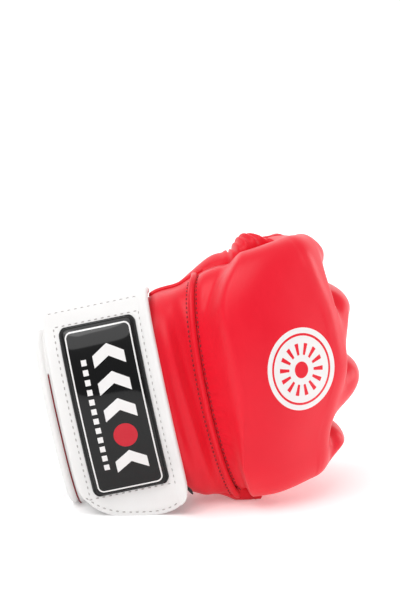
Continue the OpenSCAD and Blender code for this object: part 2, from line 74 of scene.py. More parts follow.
STRAP_IN, STRAP_OUT, BADGE_IN, BADGE_OUT = 8.2, 10.8, 11.1, 12.0
FINGERS = ("index", "middle", "ring", "little")

# How far each knuckle stands back, index to little finger: in the part's source, and for the rolls here
SETBACK, SETBACK_SHARE, SETBACK_FADE, INDEX_BACK = (4, 0, 2, 17), 0.6, 20, 3
STALL_SETBACK = (7, 0, 2, 15)
# Past the pad each finger lies towards the thumb and draws in on its thumb and little-finger sides
TOWARDS_THUMB, FREE_SIDES = (7, 8, 5, 5), ((0.5, 0), (0, 0.15), (0, 0), (0, 0.5))
PAST_PAD, PAST_PAD_RUN = (42, 42, 42, 2), 28
# How square the hand's sections are: 2 is an ellipse, more is squarer
WRIST_SQUARE, BACK_SQUARE, PALM_SQUARE, STRAP_SQUARE = 2.5, 4.6, 4, 4.2
# The stalls: leather a little further off its lining than in the source, how square they are beside the pad
# (1 is an ellipse, less is squarer), and shares of the width at the tip and of the foam at the knuckle
STALL_SKIN_IN = STALL_LINING_T + LINING_GAP
STALL_SQUARE, STALL_TIP, STALL_FOAM = 0.75, 0.86, 0.85
# How far the leather strays from the plain section: shares of its width, then millimetres
LOW_DRAW, LOW_DRAW_ON, HIGH_SPREAD = 0.18, 0.01, 0.03
SAG, WELT_SWEEP, SLEEVE_OFF = 1.2, 6, 5
# The pad beside the welt: the share of foam in its low step, and where and over what run its shoulder rises
LOW_STEP, SHOULDER_AT, SHOULDER_BACK, SHOULDER_RUN = 0.2, 2, 13, 16
# The strap's free end and the badge on it, which spread a little past their solids
STRAP_W, STRAP_T, STRAP_END, STRAP_SHOULDER, STRAP_LEVEL = 49, 2.6, -72, 25, 14
STRAP_FRONT = CUFF_FRONT + 0.5
STRAP_BACK = STRAP_FRONT - STRAP_W
ROLL_W, FOLD_RISE = 5, 4.5
BADGE_W, BADGE_SPAN, BADGE_TURN = 35, 52.5, 9
BADGE_MID = STRAP_BACK + 24.3


def mix(a, b, k):
    return a + (b - a) * k


def clamp(k):
    return max(0.0, min(1.0, k))


def smooth(k):
    k = clamp(k)
    return k * k * (3 - 2 * k)


def rise(x, start, run):
    """Softly from 0 at start to 1 a run later."""
    return smooth((x - start) / run)


def fall(x, end, run):
    """Softly from 1, a run before the end, to 0 at the end."""
    return smooth((end - x) / run)


def hump(x, at, width):
    """A soft hump, 1 at its place and nearly 0 two widths away."""
    return math.exp(-((x - at) / width) ** 2)


def sind(a):
    return math.sin(math.radians(a))


def cosd(a):
    return math.cos(math.radians(a))


def power(x, p):
    """A power that keeps the sign."""
    return math.copysign(abs(x) ** p, x)


def stand(a, y, b, lift=0.0):
    """A point of the hand frame, stood on the floor."""
    x = a * math.cos(LEAN) - b * math.sin(LEAN)
    z = (a - TOUCH_AT) * math.sin(LEAN) + b * math.cos(LEAN) + AXIS_HEIGHT
    return Vector((x, y, max(lift, z)))


def finger_b(i):
    return (1.5 - i) * PITCH


def setback(b):
    """The pad's knuckle line across the hand: nearly straight, then softly back to the little finger."""
    index, ring = INDEX_BACK * rise(b, 22, 25), SETBACK[2] * fall(b, 6, 20)
    return index + ring + (SETBACK[3] - SETBACK[2]) * fall(b, 2, 38)


def bend(t, d, b, s, lift=0.0):
    """d outwards from the finger axis and b across the hand, at station t of a hand set back by s."""
    r = CURL_R - (1 - SETBACK_SHARE) * s
    a = -SETBACK_SHARE * s * smooth(t / SETBACK_FADE + 1)
    b -= HAND_DROP * grow(t)
    if t <= 0:
        return stand(a + t, -d, b, lift)
    c, run = min(CURL, t), max(0.0, t - CURL)
    return stand(a + (r + d) * sind(c) + run * cosd(c), r - (r + d) * cosd(c) + run * sind(c), b, lift)


def grow(t):
    """From the wrist's section at the cuff, 0, to the hand's, 1."""
    k = clamp((t - CUFF_FRONT) / (FULL_AT - CUFF_FRONT))
    return k * (3 - k * k) / 2


def past(t):
    """From the hand's section, 0, to the knuckles', 1."""
    return smooth((t + PAST_LEAD) / (KNUCKLE_AT + PAST_LEAD))


def half_width(t):
    return mix(mix(WRIST_W, HAND_W, grow(t)), KNUCKLE_W, past(t)) / 2


def section(h, n):
    """Depth of a rounded box at angle h, from -1 to 1."""
    return math.copysign(max(0.0, 1 - abs(sind(h)) ** n) ** (1 / n), cosd(h))


def squareness(t, h):
    return mix(WRIST_SQUARE, BACK_SQUARE, past(t)) if cosd(h) > 0 else mix(WRIST_SQUARE, PALM_SQUARE, grow(t))


def depth_of(t, h):
    if cosd(h) > 0:
        return mix(mix(WRIST_D, HAND_BACK, grow(t)), FINGER_D, past(t))
    return mix(WRIST_D, HAND_PALM, grow(t))


def drawn_in(t, h):
    """The pad's lower side draws in, so that the cushion beside it carries the glove, and its upper side
    spreads towards the knuckles."""
    low = LOW_DRAW * rise(t, -24, 14) + LOW_DRAW_ON * rise(t, 0, 45)
    low = low * fall(h, 0, 50) * (1 - fall(h, -112, 35))
    high = HIGH_SPREAD * rise(t, 5, 35) * rise(h, 0, 60) * (1 - rise(h, 105, 30))
    return 1 - low + high


def sag(t, h):
    """The leather between cuff and pad hangs to the floor."""
    return SAG * rise(t, -43, 10) * fall(t, -6, 12) * fall(h, -50, 35)


def wall_point(t, h, wall, lift=0.0, n=None, draw=1.0):
    """A point that stands off the hand's hollow by a wall, and at least a lift off the floor."""
    b = sind(h) * (half_width(t) + wall) * mix(1, drawn_in(t, h), draw)
    return bend(t, section(h, n or squareness(t, h)) * (depth_of(t, h) + wall), b, setback(b), lift)


def strap_point(t, h, wall, lift=0.0):
    return wall_point(t, h, wall, lift, mix(WRIST_SQUARE, STRAP_SQUARE, fall(h, -30, 30)))


def welt(h):
    """The welt's station: it sweeps forwards to both sides."""
    return WELT_AT + WELT_SWEEP * (1 - max(0.0, cosd(h)))


def sleeve(t):
    """How far the leather between cuff and welt stands off the wrist."""
    return SLEEVE_OFF * (1 - smooth((t - CUFF_FRONT) / (WELT_AT - CUFF_FRONT)))


def pad_foam(t, h):
    """The pad beside the welt rises in two steps: a low soft roll, then the shoulder of the knuckle foam,
    which stands further back towards the thumb."""
    near = t - welt(h)
    low = LOW_STEP * rise(near, -1.5, 8)
    full = low + (1 - low) * rise(near - SHOULDER_AT, SHOULDER_BACK * rise(h, 30, 50), SHOULDER_RUN)
    across = mix(FOAM_EDGE, mix(FOAM_BACK, FOAM_KNUCKLE, past(t)), max(0.0, section(h, squareness(t, h))))
    return full * across * fall(abs(h), PAD_EDGE, 14)


def stall_taper(t):
    return mix(1, STALL_TIP, smooth((t - KNUCKLE_AT) / (STALL_END - KNUCKLE_AT)))


def stall_foam(t):
    return mix(STALL_FOAM * FOAM_KNUCKLE, FOAM_TIP, rise(t, 55, 60))


def stall_point(i, t, h, wall, foam):
    """A point on finger i's stall, at angle h round it: off its hollow by a wall, and by foam outside."""
    taper = stall_taper(t)
    past_pad = rise(t, PAST_PAD[i], PAST_PAD_RUN)
    half = (STALL_W * taper + wall) * (1 - FREE_SIDES[i][h % 360 > 180] * past_pad)
    square = mix(STALL_SQUARE, 1, past_pad)
    b = finger_b(i) + TOWARDS_THUMB[i] * past_pad + power(sind(h), square) * half
    d = power(cosd(h), square) * (FINGER_D * taper + wall + (foam if cosd(h) > 0 else 0))
    return bend(t, d, b, STALL_SETBACK[i])


def strap_reach(t):
    """The free end is a round tongue that hangs level with the floor, so it is shorter at the cuff's rim."""
    across = (t - STRAP_BACK) / STRAP_W
    k = abs(2 * across - 1)
    return STRAP_END + STRAP_SHOULDER * (1 - math.sqrt(max(0.0, 1 - k ** 3))) + STRAP_LEVEL * (1 - across)


def fold_rise(h):
    """The doubled strap stands proud of the wrist at its fold."""
    return FOLD_RISE * rise(h, 25, 50) * (1 - rise(h, 92, 45))


# Mesh making

JOIN, SLIVER = 2e-6, 1e-6  # in metres: points this close are one, and edges this short are taken out
FAR = 1000  # in millimetres, beyond anything here
CROWDING = 0.75
# Which way is up across a tube that is given no normals
TUBE_UP = Vector((math.cos(LEAN), 0.17, math.sin(LEAN)))
# The pad's print shows where a face turns to the front and the knuckles
PRINT_SIDE, PRINT_LEAST = Vector((0.6, -0.8, 0)), 0.15


def eased(x):
    """Cells crowd towards both ends of a span, where the edges are rounded."""
    return mix(x, 0.5 - 0.5 * math.cos(math.pi * x), CROWDING)


def edge(x, span):
    """A quarter round at each end of x from 0 to 1, over a span of it."""
    k = min(x, 1 - x) / span if span else 1
    return 1.0 if k >= 1 else math.sqrt(max(0.0, 1 - (1 - k) ** 2))


def add_grid(bm, nu, nv, place):
    """A bmesh grid whose corners, u and v from 0 to 1, are moved to place(u, v) in millimetres."""
    made = bmesh.ops.create_grid(bm, x_segments=nu, y_segments=nv, size=0.5)["verts"]
    uv = bm.loops.layers.uv.verify()
    for vert in made:
        u, v = vert.co.x + 0.5, vert.co.y + 0.5
        for loop in vert.link_loops:
            loop[uv].uv = u, v
        vert.co = Vector(place(u, v)) * MM


def add_skin(bm, nu, ns, place, round_u=0.0, round_s=0.05):
    """A closed skin over a patch. The edges at the ends of s, and of u if round_u is set, close in a half
    round; with round_u zero the patch is a ring in u."""
    def spot(u, v):
        s = eased(2 * v if v <= 0.5 else 2 - 2 * v)
        u = eased(u) if round_u else u
        full = 0.5 * edge(u, round_u) * edge(s, round_s)
        return place(u, s, 0.5 + (full if v <= 0.5 else -full))
    add_grid(bm, nu, 2 * ns, spot)


def add_tube(bm, path, radii, sides, normals=None, closed=False):
    """A roll swept along points: radii (across, along the normal), with round ends unless it is a loop."""
    n = len(path)
    frames = []
    for k in range(n):
        before = path[(k - 1) % n if closed else max(0, k - 1)]
        after = path[(k + 1) % n if closed else min(n - 1, k + 1)]
        along = (after - before).normalized()
        side = along.cross(normals[k] if normals else TUBE_UP).normalized()
        frames.append((side, side.cross(along).normalized()))

    def spot(u, v):
        k = round(u * (n if closed else n - 1)) % n
        side, up = frames[k]
        swell = 1.0 if closed else math.sqrt(max(0.0, 1 - max(0.0, 1 - min(k, n - 1 - k) / 2) ** 2))
        turn = 2 * math.pi * v
        return path[k] + swell * (radii[0] * math.cos(turn) * side + radii[1] * math.sin(turn) * up)
    add_grid(bm, n if closed else n - 1, sides, spot)


def piece(name, bm, material, body, slot, nodes=()):
    """One object of the glove from a bmesh: seams closed, shaded smooth, on a body unless that is None."""
    bmesh.ops.remove_doubles(bm, verts=bm.verts, dist=JOIN)
    bmesh.ops.recalc_face_normals(bm, faces=bm.faces)
    for vert in bm.verts:
        vert.co.z = max(vert.co.z, 0.0)
    if material == printed_leather:
        # Each point's place at rest; a point that faces inwards is put out of the print's reach
        bm.normal_update()
        rest_layer = bm.verts.layers.float_vector.new("rest_mm")
        for vert in bm.verts:
            inside = vert.normal.dot(PRINT_SIDE) < PRINT_LEAST
            vert[rest_layer] = vert.co / MM + Vector((0, FAR * inside, 0))
    mesh = bpy.data.meshes.new(name)
    bm.to_mesh(mesh)
    bm.free()
    mesh.shade_smooth()
    mesh.materials.append(material)
    obj = bpy.data.objects.new(name, mesh)
    bpy.context.scene.collection.objects.link(obj)
    if body:
        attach(obj, body)
    if nodes:
        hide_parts(*nodes)
    return obj


def skin_piece(name, cells, place, rounds, *dress):
    """A skin made into a piece; dress is its material, body, slot, which is not used, and the nodes it stands
    for.
    """
    bm = bmesh.new()
    add_skin(bm, *cells, place, *rounds)
    return piece(name, bm, *dress)


def tube_piece(name, path, radii, sides, *dress, normals=None, closed=False):
    """A swept roll made into a piece, dressed like a skin."""
    bm = bmesh.new()
    add_tube(bm, path, radii, sides, normals, closed)
    return piece(name, bm, *dress)


def lumps(p, scale):
    """Soft unevenness of hand-sewn leather, about -1 to 1, at a scale in millimetres."""
    return noise.noise(Vector((p[0] / scale, p[1] / scale, p[2] / scale)))


def seam_pucker(h):
    """Uneven puckers along the welt's seams, -1 to 1."""
    return math.sin(h * 1.3 + 1.5 * math.sin(h * 0.31))


def along_path(points, pitch):
    """Points and directions at an even pitch along a polyline."""
    out, carry = [], pitch / 2
    for a, b in zip(points, points[1:]):
        run = (b - a).length
        while carry <= run:
            out.append((a.lerp(b, carry / run), (b - a).normalized()))
            carry += pitch
        carry -= run
    return out


def stitches(name, paths, pitch, length, radius, *dress):
    """Rows of short sunken threads along paths on a surface."""
    bm = bmesh.new()
    for path in paths:
        for spot, way in along_path(path, pitch):
            turn = way.to_track_quat("X", "Z").to_matrix().to_4x4()
            shape = Matrix.Diagonal((length / 2, radius, radius, 1))
            bmesh.ops.create_icosphere(bm, subdivisions=1, radius=MM,
                                       matrix=Matrix.Translation(spot * MM) @ turn @ shape)
    return piece(name, bm, *dress)


# Materials

PATCH_MM, CREASE_GRAINS, NOISE_LOW, NOISE_HIGH = 14, 4, 0.3, 0.7
ROUGH_LESS, ROUGH_MORE, GRAIN_DEPTH, FUZZ_DEPTH = 0.05, 0.06, 0.12 * MM, 0.3 * MM


def linear(hex_colour):
    """The linear colour of an sRGB hex value."""
    channels = [int(hex_colour[k:k + 2], 16) / 255 for k in (1, 3, 5)]
    return [c / 12.92 if c <= 0.04045 else ((c + 0.055) / 1.055) ** 2.4 for c in channels] + [1]


def new_material(name):
    made = bpy.data.materials.new(name)
    made.use_nodes = True
    return made, made.node_tree.nodes["Principled BSDF"]


def add(tree, kind, inputs=None, **settings):
    """A node with its settings; each input takes a value, or a link from another node's socket."""
    made = tree.nodes.new(kind)
    for key, value in settings.items():
        setattr(made, key, value)
    for key, value in (inputs or {}).items():
        if isinstance(value, bpy.types.NodeSocket):
            tree.links.new(value, made.inputs[key])
        else:
            made.inputs[key].default_value = value
    return made


def leather(name, colours, rough, grain_mm, bump):
    """Coated leather: two close shades in soft patches, a pebbled grain with creases, and uneven roughness.

    The real grain, about 0.3 mm, is too fine to show in the render, so it is drawn about twice as coarse."""
    made, shader = new_material(name)
    tree = made.node_tree
    place = add(tree, "ShaderNodeTexCoord").outputs["Object"]
    patches = add(tree, "ShaderNodeTexNoise", {"Vector": place, "Scale": 1 / (PATCH_MM * MM),
                                               "Detail": 3.0}).outputs["Fac"]
    tint = add(tree, "ShaderNodeMix", {"Factor": patches, "A": linear(colours[0]), "B": linear(colours[1])},
               data_type="RGBA")
    tree.links.new(tint.outputs["Result"], shader.inputs["Base Color"])
    wear = add(tree, "ShaderNodeMapRange", {"Value": patches, "From Min": NOISE_LOW, "From Max": NOISE_HIGH,
                                            "To Min": rough - ROUGH_LESS, "To Max": rough + ROUGH_MORE})
    tree.links.new(wear.outputs["Result"], shader.inputs["Roughness"])
    cells = add(tree, "ShaderNodeTexVoronoi", {"Vector": place, "Scale": 1 / (grain_mm * MM),
                                               "Randomness": 1.0}, feature="SMOOTH_F1").outputs["Distance"]
    creases = add(tree, "ShaderNodeTexNoise", {"Vector": place, "Scale": 1 / (CREASE_GRAINS * grain_mm * MM),
                                               "Detail": 5.0, "Roughness": 0.62}).outputs["Fac"]
    height = add(tree, "ShaderNodeMath", {0: cells, 1: creases}, operation="ADD").outputs["Value"]
    relief = add(tree, "ShaderNodeBump", {"Height": height, "Strength": bump, "Distance": GRAIN_DEPTH})
    tree.links.new(relief.outputs["Normal"], shader.inputs["Normal"])
    shader.inputs["Specular IOR Level"].default_value = 0.28
    shader.inputs["Sheen Weight"].default_value = 0.08
    return made


# Stretched over foam: a bright, even red with a soft, wide shine
red_leather = leather("red_leather", ("#E40E27", "#EB132C"), 0.38, 0.7, 0.22)
# Thin and loose on the sides, palm and finger undersides: a little duller, and its grain stands out more
soft_leather = leather("soft_red_leather", ("#E20D26", "#EA112A"), 0.42, 0.6, 0.3)
# Cuff, strap and bindings: a warm white, nearly matt, with a faint grain
white_leather = leather("white_leather", ("#E9E7E6", "#F1F0EF"), 0.48, 0.6, 0.2)


def fibre(name, colours, tuft_mm, bump):
    """Felt, touch tape or thread: matt, uneven in shade, with a little sheen from loose ends.

    Single fibres, some hundredths of a millimetre thick, are too fine to show, so tufts of them are drawn."""
    made, shader = new_material(name)
    tree = made.node_tree
    place = add(tree, "ShaderNodeTexCoord").outputs["Object"]
    fuzz = add(tree, "ShaderNodeTexNoise", {"Vector": place, "Scale": 1 / (tuft_mm * MM), "Detail": 4.0,
                                            "Distortion": 1.5}).outputs["Fac"]
    tint = add(tree, "ShaderNodeMix", {"Factor": fuzz, "A": linear(colours[0]), "B": linear(colours[1])},
               data_type="RGBA")
    tree.links.new(tint.outputs["Result"], shader.inputs["Base Color"])
    relief = add(tree, "ShaderNodeBump", {"Height": fuzz, "Strength": bump, "Distance": FUZZ_DEPTH})
    tree.links.new(relief.outputs["Normal"], shader.inputs["Normal"])
    shader.inputs["Roughness"].default_value = 0.9
    shader.inputs["Sheen Weight"].default_value = 0.25
    return made


# Linings: soft and matted, so they swallow the light
black_felt = fibre("black_felt", ("#0E0E0F", "#232224"), 0.5, 0.8)
# Hooks and loops: finer and harsher than the felt, a rough black
touch_tape = fibre("black_touch_tape", ("#0B0B0C", "#1E1E20"), 0.35, 1.0)
# Twisted thread lies in its holes; its colour is painted darker than the leather round it, as painted shade
# in the holes
red_thread = fibre("red_thread_painted_shade", ("#6E0411", "#8C0A1B"), 0.2, 0.3)
white_thread_painted_shade = fibre("white_thread_painted_shade", ("#A9A5A3", "#C4C0BE"), 0.2, 0.3)
# Stiff woven cloth: a matt black frame round the glossy badge
badge_cloth = fibre("black_badge_backing", ("#0B0B0C", "#1C1B1D"), 0.3, 0.8)

# A roundel printed on the pad, in millimetres from its middle: white ink with a ring, a dot and short rays
# left bare
ROUNDEL_AT, ROUNDEL_R, ROUNDEL_NARROWED, PRINT_DEPTH = (19, -36, 66.5), 19, 0.8, 45
RING_R, RING_HALF, DOT_R = 0.84 * ROUNDEL_R, 0.55, 0.2 * ROUNDEL_R
RAYS, RAY_EDGE, RAY_MID, RAY_HALF = 14, 0.35, 0.5 * ROUNDEL_R, 0.14 * ROUNDEL_R


def print_roundel(made):
    """Prints the roundel on a leather, in the plane of the hand, from each point's place at rest."""
    tree = made.node_tree
    shader = tree.nodes["Principled BSDF"]
    bare = shader.inputs["Base Color"].links[0].from_socket
    rest = add(tree, "ShaderNodeAttribute", attribute_name="rest_mm").outputs["Vector"]
    flat = add(tree, "ShaderNodeMapping", {"Vector": rest, "Location": ROUNDEL_AT, "Rotation": (0, -LEAN, 0),
                                           "Scale": (ROUNDEL_NARROWED, 1, 1)},
               vector_type="TEXTURE").outputs["Vector"]
    x, y, z = add(tree, "ShaderNodeSeparateXYZ", {"Vector": flat}).outputs
    plane = add(tree, "ShaderNodeCombineXYZ", {"X": x, "Z": z}).outputs["Vector"]
    off = add(tree, "ShaderNodeVectorMath", {0: plane}, operation="LENGTH").outputs["Value"]
    disc = add(tree, "ShaderNodeMath", {0: off, 1: ROUNDEL_R}, operation="LESS_THAN").outputs["Value"]
    front = add(tree, "ShaderNodeMath", {0: y, 1: PRINT_DEPTH}, operation="LESS_THAN").outputs["Value"]
    ring = add(tree, "ShaderNodeMath", {0: off, 1: RING_R, 2: RING_HALF},
               operation="COMPARE").outputs["Value"]
    dot = add(tree, "ShaderNodeMath", {0: off, 1: DOT_R}, operation="LESS_THAN").outputs["Value"]
    turn = add(tree, "ShaderNodeMath", {0: x, 1: z}, operation="ARCTAN2").outputs["Value"]
    turns = add(tree, "ShaderNodeMath", {0: turn, 1: RAYS}, operation="MULTIPLY").outputs["Value"]
    wave = add(tree, "ShaderNodeMath", {0: turns}, operation="COSINE").outputs["Value"]
    on_ray = add(tree, "ShaderNodeMath", {0: wave, 1: RAY_EDGE}, operation="GREATER_THAN").outputs["Value"]
    span = add(tree, "ShaderNodeMath", {0: off, 1: RAY_MID, 2: RAY_HALF},
               operation="COMPARE").outputs["Value"]
    rays = add(tree, "ShaderNodeMath", {0: on_ray, 1: span}, operation="MULTIPLY").outputs["Value"]
    lines = add(tree, "ShaderNodeMath", {0: ring, 1: dot}, operation="MAXIMUM").outputs["Value"]
    left_bare = add(tree, "ShaderNodeMath", {0: lines, 1: rays}, operation="MAXIMUM").outputs["Value"]
    inked = add(tree, "ShaderNodeMath", {0: disc, 1: left_bare}, operation="SUBTRACT",
                use_clamp=True).outputs["Value"]
    shown = add(tree, "ShaderNodeMath", {0: inked, 1: front}, operation="MULTIPLY").outputs["Value"]
    ink = add(tree, "ShaderNodeMix", {"Factor": shown, "A": bare, "B": linear("#EFEDEC")}, data_type="RGBA")
    tree.links.new(ink.outputs["Result"], shader.inputs["Base Color"])


# The pad's leather with flat white ink on it
printed_leather = red_leather.copy()
printed_leather.name = "printed_red_leather"
print_roundel(printed_leather)

# The badge's own print, in millimetres across (u) and along (v) the strap: a border line with round corners,
# a column of chevrons with a red disc in place of one, and a column of short bars
BADGE_TOP, BADGE_FOOT = (strap_point(BADGE_MID, h, BADGE_OUT + fold_rise(h))
                         for h in (BADGE_TURN + BADGE_SPAN, BADGE_TURN - BADGE_SPAN))
MARGIN_U, MARGIN_V, BORDER_R, BORDER_HALF = 5.4, 5.2, 2.5, 0.32
BORDER_U, BORDER_V = BADGE_W / 2 - MARGIN_U, (BADGE_TOP - BADGE_FOOT).length / 2 - MARGIN_V
CHEVRON_U, CHEVRON_HALF, CHEVRON_SLANT, CHEVRON_PITCH, CHEVRON_T = 3, 7.2, 0.6, 12.2, 5.4
CHEVRONS_MID, CHEVRONS_HALF, SKIPPED_AT, SKIPPED_HALF = 2.7, 27.6, -9.5, 3.5
DISC_V, DISC_R = -11.8, 5.4
BAR_U, BAR_HALF, BAR_PITCH, BAR_T, BARS_MID, BARS_HALF = CHEVRON_U - 11.5, 1.2, 4.4, 2.6, -0.9, 25.8


def domed_badge(name):
    """Moulded rubber with a clear domed coat over its print: deep black with hard, mirror-like highlights."""
    made, shader = new_material(name)
    tree = made.node_tree
    place = add(tree, "ShaderNodeTexCoord").outputs["Object"]
    flat = add(tree, "ShaderNodeMapping", {"Vector": place, "Location": (BADGE_TOP + BADGE_FOOT) / 2 * MM,
                                           "Rotation": (0, -LEAN, 0), "Scale": (MM, MM, MM)},
               vector_type="TEXTURE").outputs["Vector"]
    sizes = add(tree, "ShaderNodeVectorMath", {0: flat}, operation="ABSOLUTE").outputs["Vector"]
    beyond = add(tree, "ShaderNodeVectorMath", {0: sizes, 1: (BORDER_U, FAR, BORDER_V)},
                 operation="SUBTRACT").outputs["Vector"]
    corner = add(tree, "ShaderNodeVectorMath", {0: beyond, 1: (0, 0, 0)},
                 operation="MAXIMUM").outputs["Vector"]
    out_by = add(tree, "ShaderNodeVectorMath", {0: corner}, operation="LENGTH").outputs["Value"]
    border = add(tree, "ShaderNodeMath", {0: out_by, 1: BORDER_R, 2: BORDER_HALF},
                 operation="COMPARE").outputs["Value"]
    u, _, v = add(tree, "ShaderNodeSeparateXYZ", {"Vector": flat}).outputs
    from_middle = add(tree, "ShaderNodeMath", {0: u, 1: CHEVRON_U}, operation="SUBTRACT").outputs["Value"]
    side = add(tree, "ShaderNodeMath", {0: from_middle}, operation="ABSOLUTE").outputs["Value"]
    slant = add(tree, "ShaderNodeMath", {0: side, 1: CHEVRON_SLANT, 2: v},
                operation="MULTIPLY_ADD").outputs["Value"]
    step = add(tree, "ShaderNodeMath", {0: slant, 1: CHEVRON_PITCH},
               operation="FLOORED_MODULO").outputs["Value"]
    stripe = add(tree, "ShaderNodeMath", {0: step, 1: CHEVRON_T}, operation="LESS_THAN").outputs["Value"]
    inside = add(tree, "ShaderNodeMath", {0: side, 1: CHEVRON_HALF}, operation="LESS_THAN").outputs["Value"]
    row = add(tree, "ShaderNodeMath", {0: slant, 1: CHEVRONS_MID, 2: CHEVRONS_HALF},
              operation="COMPARE").outputs["Value"]
    stripes = add(tree, "ShaderNodeMath", {0: stripe, 1: row}, operation="MULTIPLY").outputs["Value"]
    skipped = add(tree, "ShaderNodeMath", {0: slant, 1: SKIPPED_AT, 2: SKIPPED_HALF},
                  operation="COMPARE").outputs["Value"]
    left = add(tree, "ShaderNodeMath", {0: stripes, 1: skipped}, operation="SUBTRACT",
               use_clamp=True).outputs["Value"]
    chevrons = add(tree, "ShaderNodeMath", {0: left, 1: inside}, operation="MULTIPLY").outputs["Value"]
    bar_step = add(tree, "ShaderNodeMath", {0: v, 1: BAR_PITCH}, operation="FLOORED_MODULO").outputs["Value"]
    bar = add(tree, "ShaderNodeMath", {0: bar_step, 1: BAR_T}, operation="LESS_THAN").outputs["Value"]
    bar_column = add(tree, "ShaderNodeMath", {0: u, 1: BAR_U, 2: BAR_HALF},
                     operation="COMPARE").outputs["Value"]
    bars = add(tree, "ShaderNodeMath", {0: bar, 1: bar_column}, operation="MULTIPLY").outputs["Value"]
    bar_row = add(tree, "ShaderNodeMath", {0: v, 1: BARS_MID, 2: BARS_HALF},
                  operation="COMPARE").outputs["Value"]
    ladder = add(tree, "ShaderNodeMath", {0: bars, 1: bar_row}, operation="MULTIPLY").outputs["Value"]
    from_disc = add(tree, "ShaderNodeVectorMath", {0: flat, 1: (CHEVRON_U, 0, DISC_V)},
                    operation="SUBTRACT").outputs["Vector"]
    level = add(tree, "ShaderNodeVectorMath", {0: from_disc, 1: (1, 0, 1)},
                operation="MULTIPLY").outputs["Vector"]
    off = add(tree, "ShaderNodeVectorMath", {0: level}, operation="LENGTH").outputs["Value"]
    disc = add(tree, "ShaderNodeMath", {0: off, 1: DISC_R}, operation="LESS_THAN").outputs["Value"]
    marks = add(tree, "ShaderNodeMath", {0: chevrons, 1: ladder}, operation="MAXIMUM").outputs["Value"]
    white = add(tree, "ShaderNodeMath", {0: marks, 1: border}, operation="MAXIMUM").outputs["Value"]
    inked = add(tree, "ShaderNodeMix", {"Factor": white, "A": linear("#0C0C0D"), "B": linear("#EDEBEA")},
                data_type="RGBA")
    whole = add(tree, "ShaderNodeMix", {"Factor": disc, "A": inked.outputs["Result"], "B": linear("#C8142A")},
                data_type="RGBA")
    tree.links.new(whole.outputs["Result"], shader.inputs["Base Color"])
    shader.inputs["Roughness"].default_value = 0.08
    shader.inputs["Specular IOR Level"].default_value = 0.35
    return made


badge_rubber = domed_badge("black_domed_badge")


# The back of the hand: one padded skin from the welt to the knuckles. Inner faces lie a little inside the
# foam's own place, and a lift keeps them off the floor

SPLIT_AT, FINGER_CELLS, LONG_CELLS = 30, 26, 90
INNER_LAP, PAD_LIFT, WELT_LAP = 0.3, 3, 1.2
LUMP, LUMP_MM, LUMP_RUN, PAD_PUCKER = 0.45, 26, 12, 0.32
HARD_EDGE, HALVINGS = math.radians(60), 40
BLEND_DEPTH, BLEND_RUN = 24, 22


def pad_outer(t, h):
    """Depth of the pad's outer face over the hollow."""
    return SKIN_IN + pad_foam(t, h) + LEATHER_T


def pad_point(t, h, w):
    p = wall_point(t, h, mix(SKIN_IN - INNER_LAP, pad_outer(t, h), w), PAD_LIFT * (1 - w))
    if w > 0.5:
        near = clamp((t - welt(h)) / LUMP_RUN)
        p.y -= LUMP * lumps(p, LUMP_MM) * near
        p.y -= PAD_PUCKER * (1 - near) * max(0.0, cosd(h)) * seam_pucker(h)
    return p


def column(i):
    """Angles round the hand at which finger i's part of the pad starts and ends, at the split."""
    def angle(b):
        low, high = -PAD_EDGE, PAD_EDGE
        for _ in range(HALVINGS):
            mid = (low + high) / 2
            at = math.copysign(FAR, mid)
            if abs(mid) < 90:
                at = sind(mid) * (half_width(SPLIT_AT) + pad_outer(SPLIT_AT, mid))
            low, high = (mid, high) if at < b else (low, mid)
        return (low + high) / 2
    left = -PAD_EDGE if i == 3 else angle(finger_b(i) - PITCH / 2)
    return left, PAD_EDGE if i == 0 else angle(finger_b(i) + PITCH / 2)


columns = [column(i) for i in range(4)]


def pad_angle(v):
    """The pad's columns follow the fingers, so that their edges meet it point to point."""
    i = 3 - min(3, int(v * 4))
    return mix(*columns[i], v * 4 - (3 - i))


def pad_face(side):
    """The outer face, side 1, or the inner one, -1; they meet at the welt and along both sides."""
    def spot(u, v):
        h = pad_angle(v)
        round_off = edge(min(u, 0.5), 0.05) * edge(v, 0.03)
        return pad_point(mix(welt(h) + WELT_LAP, SPLIT_AT, u), h, 0.5 + side * 0.5 * round_off)
    return spot


def weld(bm):
    """Joins faces that meet, with hard edges where they turn sharply, so that they shade cleanly."""
    bmesh.ops.remove_doubles(bm, verts=bm.verts, dist=JOIN)
    bmesh.ops.dissolve_degenerate(bm, edges=bm.edges, dist=SLIVER)
    for e in bm.edges:
        e.smooth = e.calc_face_angle(0) < HARD_EDGE


def knuckle_turn(i):
    """Where a skin over finger i's knuckle starts to follow the finger and where it does fully, in metres."""
    return [bend(t, BLEND_DEPTH, finger_b(i), SETBACK[i]) * MM for t in (SPLIT_AT, SPLIT_AT + BLEND_RUN)]


bm = bmesh.new()
for side in (1, -1):
    add_grid(bm, LONG_CELLS, 4 * FINGER_CELLS, pad_face(side))
add_grid(bm, 4 * FINGER_CELLS, 1, lambda v, k: pad_face(2 * k - 1)(1, v))
weld(bm)
back_pad = piece("back_pad", bm, printed_leather, "hand", "red_leather", ("back_shell", "knuckle_foam"))

# Four finger rolls grow out of the pad's edge, with a soft groove between them, and curl over the finger ends

ROLL_FROM, ROLL_FROM_TOP, ROLL_RUN, ROLL_TURN = 50, 66, 18, STALL_SPLIT - 1.2
THINNER, THIN_FROM, THIN_RUN, INNER_FOAM = 0.24, 44, 20, 0.72
UNDER_FROM, UNDER_LAP, UNDER_CREASE = 16, 4, 0.35
HEM_TUCK, FELT_FROM, FELT_ROOM = 1.4, KNUCKLE_AT + 24, 3


def roll_share(i, t, q):
    """How far a roll has parted from the pad; the index's outer side parts later, so the edge is even."""
    return rise(t, mix(ROLL_FROM, ROLL_FROM_TOP if i == 0 else ROLL_FROM, (q + 1) / 2), ROLL_RUN)


